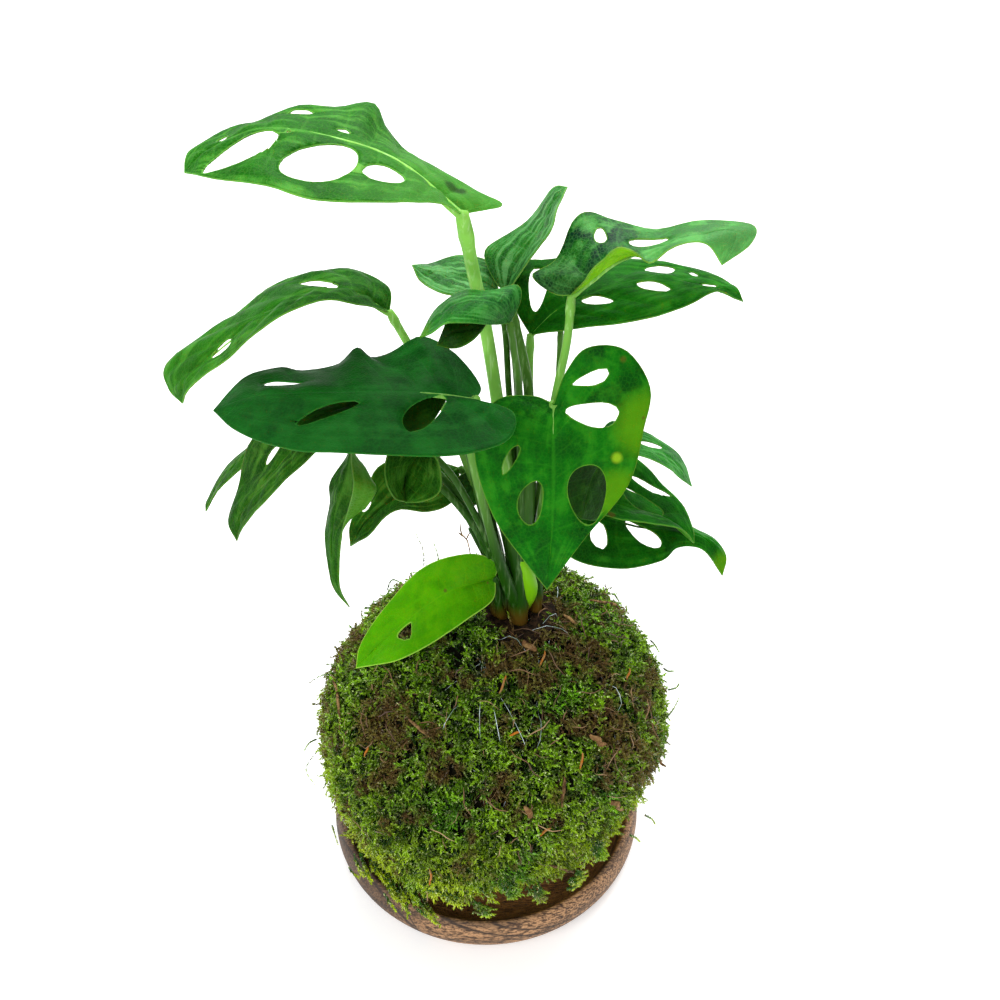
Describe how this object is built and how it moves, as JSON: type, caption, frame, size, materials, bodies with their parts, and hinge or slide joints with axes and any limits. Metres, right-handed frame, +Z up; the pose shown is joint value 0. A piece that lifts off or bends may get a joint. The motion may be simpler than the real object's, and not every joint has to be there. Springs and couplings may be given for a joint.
{
  "type": "kokedama moss ball plant",
  "caption": "House plant with perforated heart-shaped leaves on slim stems, growing from a thread-bound moss ball that rests on a shallow turned wooden saucer.",
  "frame": {"origin": "middle of the saucer's foot, on the surface that it stands on", "axes": "+Z up, -Y towards the viewer of the picture, +X to that viewer's right"},
  "size_m": [0.173, 0.1285, 0.2862],
  "materials": {
    "wood": "turned, dark brown inside, satin",
    "soil": "damp dark soil",
    "moss": "living feathery moss",
    "thread": "clear thin line",
    "petiole": "smooth living stem, satin",
    "leaf_fresh": "living leaf, satin gloss",
    "leaf_mid": "living leaf, satin gloss",
    "leaf_deep": "living leaf, glossy",
    "leaf_lime": "young living leaf, satin"
  },
  "bodies": {
    "root": {"saucer": "wood", "soil_core": "soil", "moss_jacket": "moss", "binding_thread": "thread", "stems_left": "petiole", "stems_main": "petiole", "stems_right": "petiole", "leaf_top": "leaf_fresh", "leaf_left_arching": "leaf_fresh", "leaf_back_left": "leaf_fresh", "leaf_left_low": "leaf_fresh", "leaf_left_narrow": "leaf_fresh", "leaf_front_broad": "leaf_deep", "leaf_right_twisted": "leaf_deep", "leaf_centre_cupped": "leaf_deep", "leaf_front_heart": "leaf_mid", "leaf_small_arching": "leaf_mid", "leaf_back_upright": "leaf_mid", "leaf_right_long": "leaf_mid", "leaf_right_small": "leaf_mid", "leaf_right_slotted": "leaf_mid", "leaf_right_low": "leaf_mid", "leaf_hanging_rolled": "leaf_mid", "leaf_centre_ragged": "leaf_mid", "leaf_low_bright": "leaf_lime"}
  },
  "joints": []
}
